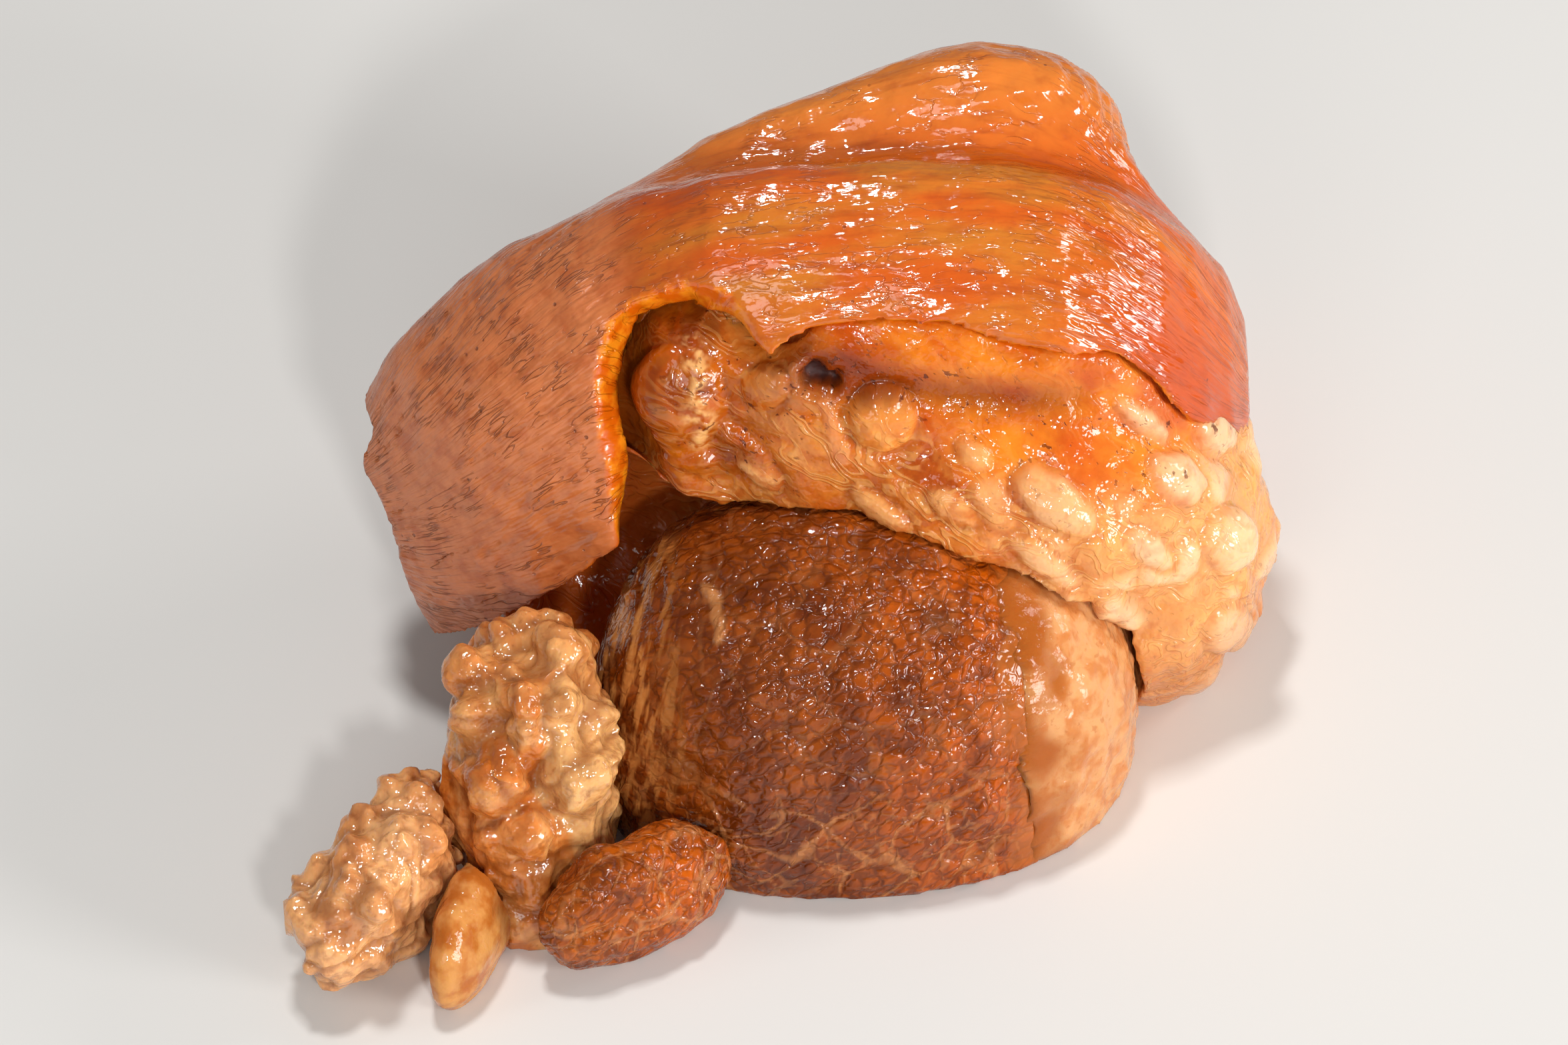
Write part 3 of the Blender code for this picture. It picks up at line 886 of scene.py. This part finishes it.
deep_jelly = fatty.mix(clouds.between(0.3, 0.7), (206, 84, 2), (232, 132, 26))
amber = fatty.mix(clouds.between(0.38, 0.6), (142, 58, 0), (196, 102, 12))
pale = fatty.mix(paling, (238, 172, 104), (240, 204, 160))
colour = fatty.mix(clouds.between(0.35, 0.65), (166, 60, 0), (206, 102, 12))
colour = fatty.glaze(
    colour,
    (fatty.mask("small_tone") * 0.4 * rough_part, (240, 160, 70)),
    (paling * 0.75, (240, 174, 106)),
    (smooth * 0.85, deep_jelly),
    (cells.between(0.5, 0.62) * rough_part * 0.3, (244, 172, 92)),
    (lobe * 0.9, amber),
    (lobule * 0.75, pale),
    (fatty.mask("round") * 0.8, (240, 158, 74)),
    (grainy.between(0.5, 0.72) * 0.3, (206, 96, 14)),
    # seams between lobules: the jelly's own colour with painted shade
    (seam_tone_and_shade, (190, 84, 12)),
    (drawn * 0.45, (240, 176, 100)))
print("soft fat:", len(fatty.tree.nodes), "nodes so far")

# %% [markdown]
# Last come the marks: the pale crest, painted shade on its own and mixed into the vein's stain, the
# vein, its hole painted dark as shade, flecks of broth and the hollow's painted shade. The fine
# relief is a Bump again, low enough to keep the broad wet highlights.

# %% Fat: marks and fine relief
flecks = fatty.moved(fatty.run("run", (0.6, 1.0, 1.0)), 1.2, 1.2)
flecks = fatty.noise(0.5, flecks, detail=2.0).between(0.6, 0.66)
flecks = flecks * fatty.noise(1.8, fat_run).between(0.48, 0.58) * fatty.mask("specks")
mouth_mask = fatty.mask("mouth")
colour = fatty.glaze(
    colour,
    (fatty.mask("crest") * grainy.between(0.4, 0.6) * 0.8, (244, 190, 120)),
    # painted shade on the amber lobe's left flank and on the fat low down
    (fatty.mask("shade") * 0.6, (168, 82, 16)),
    # the vein's stain, with painted shade under the skin's lip and along the arch's rim
    (fatty.mask("stain") * 0.85, (122, 40, 4)),
    (fatty.mask("vein") * 0.45, (236, 160, 104)),
    (flecks * 0.85, (92, 32, 6)),
    # the vein's hole, painted dark as the shade inside it
    (mouth_mask, (64, 16, 6)),
    # painted shade in the hollow behind the flap, over all else
    (fatty.mask("inside"), (180, 84, 26)))
pimples = fatty.noise(0.5, fat_run, detail=1.0)
relief = grainy * 0.6 + drawn * 0.22 + pimples * 0.2 - flecks * 0.1
fatty.paint(colour, 0.06 + clouds * 0.08 + mouth_mask * 0.5, relief, 0.32)
fat.dress(fatty)

# %% [markdown]
# ## Lean and sinew
#
# The muscle is a bundle of bundles cut across; toward the right its membrane thickens into pale
# sinew. Bundles and fibres have directions of their own, and the sinew's border is part of a large
# rounded block, so the way to it is worked out instead of searched for.

# %% Lean and sinew: directions
SINEW_MIDDLE = np.array([43.75, -12.95, 9.0])
SINEW_HALF = np.array([24.0, 60.0, 60.0])
LEAN_RUN = np.array([[0.80, -0.20, 0.56], [-0.60, -0.40, 0.69], [0.086, -0.893, -0.44]])
FIBRE_RUN = np.array([[-0.331, -0.683, -0.651], [0.944, -0.240, -0.229], [0.0, -0.690, 0.724]])


def into_sinew(at):
    """How far in mm a place is from the border of the sinew, negative inside it."""
    return (np.linalg.norm((at - SINEW_MIDDLE) / SINEW_HALF, axis=1) - 1.0) * SINEW_HALF[0]


def toward_border(at):
    """Directions straight across the border of the sinew, away from its middle."""
    across = (at - SINEW_MIDDLE) / SINEW_HALF ** 2
    return across / np.linalg.norm(across, axis=1)[:, None]


print("the sinew's border is", SINEW_HALF[0], "mm from the middle of its block")

# %% [markdown]
# Each bundle is a soft dome a few millimetres wide inside a pale membrane, granular and wet.
# Packed cells in two sizes give domes and seams together; noise alone would give no membranes.

# %% Lean: bundles
def muscle_relief(at, seed):
    """Heights in mm over a cut muscle, with the seams between its bundles and their tones."""
    bent = warped(at @ LEAN_RUN.T, 6.0, 1.8, seed)
    dome, seam, tone = packed(bent, (7.0, 5.0, 6.0), seed + 1)
    fine_dome, fine_seam, _ = packed(bent, (2.8, 2.0, 2.4), seed + 2)
    height = 0.7 * dome + 0.22 * fine_dome + 0.2 * rough(at, 1.8, seed + 4, 2)
    return height, seam, fine_seam, tone


def keep_muscle(body, seam, fine_seam, tone, warm):
    """Keep what every finish of lean reads."""
    body.keep(run=body.at @ LEAN_RUN.T, fibre_run=body.at @ FIBRE_RUN.T, seam=seam,
              fine_seam=fine_seam, low=fade(16.0, 8.0, body.at[:, 2]), tone=tone, warm=warm)


lean = Body("braised_lean", "lean", grid=0.36, rounds=8)
height, seam, fine_seam, tone = muscle_relief(lean.at, 40)
print(f"bundles rise up to {height.max():.2f} mm")

# %% [markdown]
# A fibrous film clings to the left side, a thin pale streak runs over the front, and the side next
# to the sinew is paler. Each is a share with a ragged edge; a second mesh for the film would have
# to fit every bump. Under the sinew the lean stays flat and a little lower.

# %% Lean: shape
PALE_STREAK = [(-6.2, -11.6, 26.0), (-5.6, -12.4, 25.6), (-5.0, -13.4, 25.2),
               (-5.2, -14.6, 24.8), (-4.7, -15.6, 24.4), (-4.9, -16.6, 24.0)]
UNDER_SINEW_DROP = 0.3  # mm

x, y, z = lean.at.T
ragged = into_sinew(lean.at) + 1.6 * wander(lean.at, 4.5, 47) + rough(lean.at, 1.8, 46)
pale_side = fade(2.6, 0.6, ragged)
film_edge = x + 0.8 * wander(lean.at, 5.0, 48) - 0.12 * (z - 12.0)
film = fade(-8.0, -12.5, film_edge) * fade(6.0, -2.0, y)
fibre = np.abs(wander(lean.at @ FIBRE_RUN.T * (0.2, 1.0, 0.4), 1.5, 49))
streak = distance_to_line(warped(lean.at, 2.0, 0.25, 50), PALE_STREAK)
warm = fade(2.0, 17.0, x + 3.0 * wander(lean.at, 6.0, 51))

height = height * (1.0 - 0.85 * pale_side) * (1.0 - 0.6 * film)
height = height + 0.3 * fade(0.2, 0.0, fibre) * film
height += 0.3 * fade(0.8, 0.2, streak) * (1.0 - film)
under_sinew = fade(3.0, 1.4, into_sinew(lean.at))
level_height = height - np.percentile(height, USUAL_LEVEL)
lean.swell(level_height * (1.0 - under_sinew) - UNDER_SINEW_DROP * under_sinew)

keep_muscle(lean, seam, fine_seam, tone, warm)
lean.keep(sinew=pale_side, film=film, streak=fade(0.75, 0.3, streak))
print(f"film covers {np.mean(film > 0.5):.0%} of the lean's points")

# %% [markdown]
# Sinew grows out of the muscle without a step. A straight border would look glued on, so its edge
# is drawn out over the lean in uneven tongues, along the blurred surface so that they do not lift.

# %% Sinew: shape
sinew = Body("braised_sinew", "sinew", grid=0.36, rounds=8)
border = into_sinew(sinew.at)
across = toward_border(sinew.at)
outer = sinew.spread(fade(0.7, 0.3, np.sum(sinew.out * across, axis=1)), 2)
surface = unit(sinew.spread(sinew.out * outer[:, None], 5))
along = across - np.sum(across * surface, axis=1)[:, None] * surface
lip = fade(-1.6, -0.3, border) * fade(0.05, 0.35, outer)
reach = 1.6 + 1.4 * wander(sinew.at, 5.0, 53) + 0.7 * wander(sinew.at, 1.8, 54)
reach = np.clip(reach, 1.0, 2.8)
sinew.place(sinew.at + along * (reach * lip)[:, None] + surface * (0.1 * lip)[:, None])
swells = 0.3 * wander(sinew.at, 4.0, 60) + 0.16 * rough(sinew.at, 1.6, 61) - 0.1
sinew.swell(swells * (1.0 - lip) * outer)
sinew.keep(warm=fade(-4.5, -0.4, border + 2.5 * wander(sinew.at, 3.6, 62)))
print(f"the lip reaches {reach.min():.1f} to {reach.max():.1f} mm")

# %% [markdown]
# Dark red-brown, granular and wet, with pale membranes that fade in and out, or they would look
# like a drawn net. One function makes it, as the loose strand is of the same meat.

# %% Lean: finish
WET_ROUGHNESS = 0.08


def lean_finish(name, dark, mid):
    """Dark braised muscle, granular and wet, with pale membranes: finish, colour and relief."""
    made = Finish(name, depth=0.8, glow=0.15, gloss=0.5)
    low = made.mask("low")
    patch = made.noise(4.5)
    grain = made.moved(made.run("run", (0.65, 1.0, 1.0)), 1.4, 1.4)
    crease = made.seams(1.1, grain)
    swell = made.noise(1.4, grain, detail=1.5)
    fading = made.noise(5.0).between(0.32, 0.5)
    membrane = made.mask("seam").between(0.085, 0.02) * fading
    web = made.mask("fine_seam").between(0.1, 0.02) * (low * 0.5 + 0.06) * fading
    drawn = membrane * (0.25 + low * 0.55) + web

    colour = made.glaze(
        made.mix(patch.between(0.3, 0.7), dark, mid),
        (made.mask("tone") * 0.3, (132, 58, 12)),
        (made.mask("warm") * patch.between(0.2, 0.7) * 0.85, (196, 86, 2)),
        # painted shade in the creases between granules and in the low parts of the swells
        (crease.between(0.15, 0.02) * 0.45, (70, 26, 6)),
        (swell.between(0.5, 0.36) * 0.4, (78, 28, 6)),
        (drawn * 0.6, (200, 130, 74)))
    relief = crease.between(0.0, 0.3) * 0.35 + swell * 0.8 + drawn * 0.3
    return made, colour, relief


muscle, colour, relief = lean_finish("braised_muscle", (106, 42, 6), (160, 76, 16))
film = muscle.mask("film")
sinew_side = muscle.mask("sinew")
fibres = muscle.noise(0.9, muscle.run("fibre_run", (0.16, 1.0, 0.4)), detail=2.0)
colour = muscle.glaze(
    colour,
    (film * fibres.between(0.44, 0.6) * 0.8, (202, 132, 66)),
    (muscle.mask("streak") * 0.7, (208, 140, 82)),
    (sinew_side * 0.6, (176, 98, 40)))
level = (1.0 - sinew_side * 0.75) * (1.0 - film * 0.5)
muscle.paint(colour, WET_ROUGHNESS, relief * level + fibres * film * 0.6, 0.4)
lean.dress(muscle)

# %% [markdown]
# Cooked sinew is pale and cloudy, lets much light in, and warms to brown where it thins out over
# the lean. More glow than the muscle's does that; a transparent shader would be slow and noisy.

# %% Sinew: finish
pale_sinew = Finish("pale_sinew", depth=1.8, glow=0.35)
veiny = pale_sinew.noise(1.8, pale_sinew.moved(pale_sinew.place(), 3.0, 2.0))
colour = pale_sinew.glaze(
    (214, 154, 100),
    (veiny.between(0.4, 0.66), (200, 124, 66)),
    (pale_sinew.mask("warm"), (164, 86, 28)),
    (pale_sinew.noise(0.9).between(0.6, 0.7) * 0.4, (170, 84, 24)))
pale_sinew.paint(colour, WET_ROUGHNESS, veiny * 0.6 + pale_sinew.noise(0.6) * 0.3, 0.2)
sinew.dress(pale_sinew)

# %% [markdown]
# ## Lumps on the left
#
# Two lumps of gristle and soft fat are heaps of rounded knobs of very different sizes. Packed cells
# would be too even, so the knobs are listed: middle and half size in mm, then paleness.

# %% Lumps: knobs
UPPER_KNOBS = [
    ((-25.0, -10.6, 20.6), 1.4, 0.3), ((-23.1, -11.1, 21.9), 1.3, 0.4),
    ((-20.6, -10.4, 21.8), 1.5, 0.5), ((-18.1, -9.8, 20.9), 1.6, 0.4),
    ((-15.8, -10.6, 18.6), 1.7, 0.3), ((-26.1, -14.9, 21.0), 2.2, 0.4),
    ((-26.2, -18.7, 19.0), 2.6, 0.5), ((-22.4, -16.1, 21.9), 1.1, 0.4),
    ((-21.6, -19.9, 22.2), 1.9, 0.2), ((-22.1, -21.6, 20.1), 1.5, 0.5),
    ((-18.3, -20.4, 21.4), 1.8, 0.9), ((-18.2, -14.1, 22.4), 2.6, 0.6),
    ((-24.1, -23.1, 16.2), 3.3, 0.1), ((-17.7, -23.6, 15.4), 3.2, 1.0),
    ((-21.9, -26.3, 12.3), 2.4, 0.2), ((-15.2, -17.9, 17.3), 1.6, 1.0),
    ((-25.7, -25.6, 11.6), 1.6, 0.1), ((-14.9, -14.2, 19.0), 1.5, 0.6),
]
LOWER_KNOBS = [
    ((-33.6, -20.2, 13.4), 1.4, 0.5), ((-31.5, -18.7, 13.3), 1.2, 0.3),
    ((-29.0, -17.2, 12.2), 1.3, 0.5), ((-35.7, -23.1, 13.8), 1.5, 0.3),
    ((-39.9, -25.3, 11.0), 1.2, 0.4), ((-41.4, -27.0, 9.4), 1.2, 0.6),
    ((-41.6, -30.4, 9.4), 2.0, 0.7), ((-37.0, -30.8, 12.9), 1.3, 0.4),
    ((-30.8, -21.5, 13.4), 1.6, 0.2), ((-32.8, -26.5, 12.8), 2.5, 0.8),
    ((-35.2, -32.1, 11.7), 2.0, 0.6), ((-30.2, -25.4, 12.5), 1.7, 0.3),
    ((-38.6, -32.4, 11.2), 1.4, 0.3), ((-36.6, -27.0, 13.4), 1.8, 0.2),
]
KNOB_LEVEL = 75  # percent of the points that lie below the solid's surface


def knobbly(body, knobs, seed):
    """Swell a body into its knobs, and keep how pale each place is and where the folds are."""
    bent = warped(warped(body.at, 3.0, 0.7, seed), 1.2, 0.3, seed + 1)
    nearest = np.stack([np.linalg.norm(bent - middle, axis=1) / half for middle, half, _ in knobs])
    caps = [half * np.maximum(1.0 - gap ** 2, 0.0) for gap, (_, half, _) in zip(nearest, knobs)]
    lump = np.sum(np.array(caps) ** 3, axis=0) ** (1.0 / 3.0)
    paleness = np.array([pale for *_, pale in knobs])[np.argmin(nearest, axis=0)]
    folds = around(wander(bent, 3.4, seed + 3), 0.0, 0.2)
    small_folds = around(wander(bent, 1.4, seed + 4), 0.0, 0.2)
    height = 0.8 * lump + 0.5 * wander(bent, 3.4, seed + 5) - 0.5 * folds - 0.1 * small_folds
    body.swell_level(body.spread(height, 2), KNOB_LEVEL)
    body.keep(pale=body.spread(paleness, 2), fold=np.maximum(folds, 0.6 * small_folds))


upper = Body("gristle_upper_lump", "gristle_upper", grid=0.30, rounds=5)
knobbly(upper, UPPER_KNOBS, 70)
lower = Body("gristle_lower_lump", "gristle_lower", grid=0.26, rounds=5)
knobbly(lower, LOWER_KNOBS, 80)
print("knobs:", len(UPPER_KNOBS), "on the upper lump,", len(LOWER_KNOBS), "on the lower")

# %% [markdown]
# Gristle shines like wet glass. Pale knobs and folds painted brown as shade come from the kept
# numbers, a fine Bump makes it granular, and one function serves both lumps, which differ in three
# colours.

# %% Lumps: finish
def gristle_finish(name, base, light, brown):
    """Glossy gristle: a base colour, lighter on pale knobs and browner in the folds as painted
    shade.
    """
    made = Finish(name, depth=1.4, glow=0.35, gloss=1.0)
    colour = made.glaze(
        base,
        (made.noise(2.4).between(0.4, 0.7) * 0.5, light),
        (made.mask("pale") * 0.85, light),
        # painted shade in the folds
        (made.mask("fold") * 0.6, brown),
        (made.noise(0.9).between(0.54, 0.7) * 0.4, brown))
    relief = made.noise(0.8, detail=1.5) * 0.7 + made.noise(1.5, detail=1.0) * 0.6
    made.paint(colour, 0.05, relief, 0.36)
    return made


# Each lump's base, its pale knobs' colour, and the brown of its specks and of the painted shade in
# its folds.
UPPER_COLOURS = (212, 112, 28), (236, 184, 118), (140, 62, 14)
LOWER_COLOURS = (222, 140, 72), (244, 188, 128), (140, 68, 26)
upper.dress(gristle_finish("gristle_upper", *UPPER_COLOURS))
lower.dress(gristle_finish("gristle_lower", *LOWER_COLOURS))

# %% [markdown]
# ## Tendon
#
# A tendon's end sticks out on the left, smooth and clear as jelly: slow swells and the deepest
# glow of all. Real glass shading would show the rough inside through it.

# %% Tendon
tendon = Body("tendon_end", "tendon", grid=0.26, rounds=8)
tendon.swell(0.3 * wander(tendon.at, 3.0, 90) - 0.1)
clear = Finish("clear_tendon", depth=2.0, glow=0.45)
colour = clear.mix(clear.noise(2.2).between(0.35, 0.65), (180, 100, 34), (208, 146, 80))
clear.paint(colour, WET_ROUGHNESS, clear.noise(1.2), 0.15)
tendon.dress(clear)

# %% [markdown]
# ## Loose strand
#
# One strand of lean has come loose. It is the muscle's meat with finer bundles: its places are
# stretched before they are packed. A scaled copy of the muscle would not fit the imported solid.

# %% Loose strand
STRAND_FINENESS = 1.3  # how much finer its bundles are than the muscle's

strand = Body("loose_strand", "lean_strand", grid=0.28, rounds=5)
height, seam, fine_seam, tone = muscle_relief(strand.at * STRAND_FINENESS, 44)
strand.swell_level(0.9 * height + 0.4 * wander(strand.at, 3.5, 95))
keep_muscle(strand, seam, fine_seam, tone, fade(-18.0, -8.0, strand.at[:, 0]))
loose, colour, relief = lean_finish("loose_lean", (136, 58, 8), (196, 98, 18))
loose.paint(colour, WET_ROUGHNESS, relief, 0.4)
strand.dress(loose)

# %% [markdown]
# ## Size of the dressed piece
#
# The dressed piece has to stay inside the box of the imported solids. Both boxes are printed.

sizes = {"cad_box": cad_box, "visual_box": [list(corner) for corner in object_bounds()]}
for name, box in sizes.items():
    print(name, box)
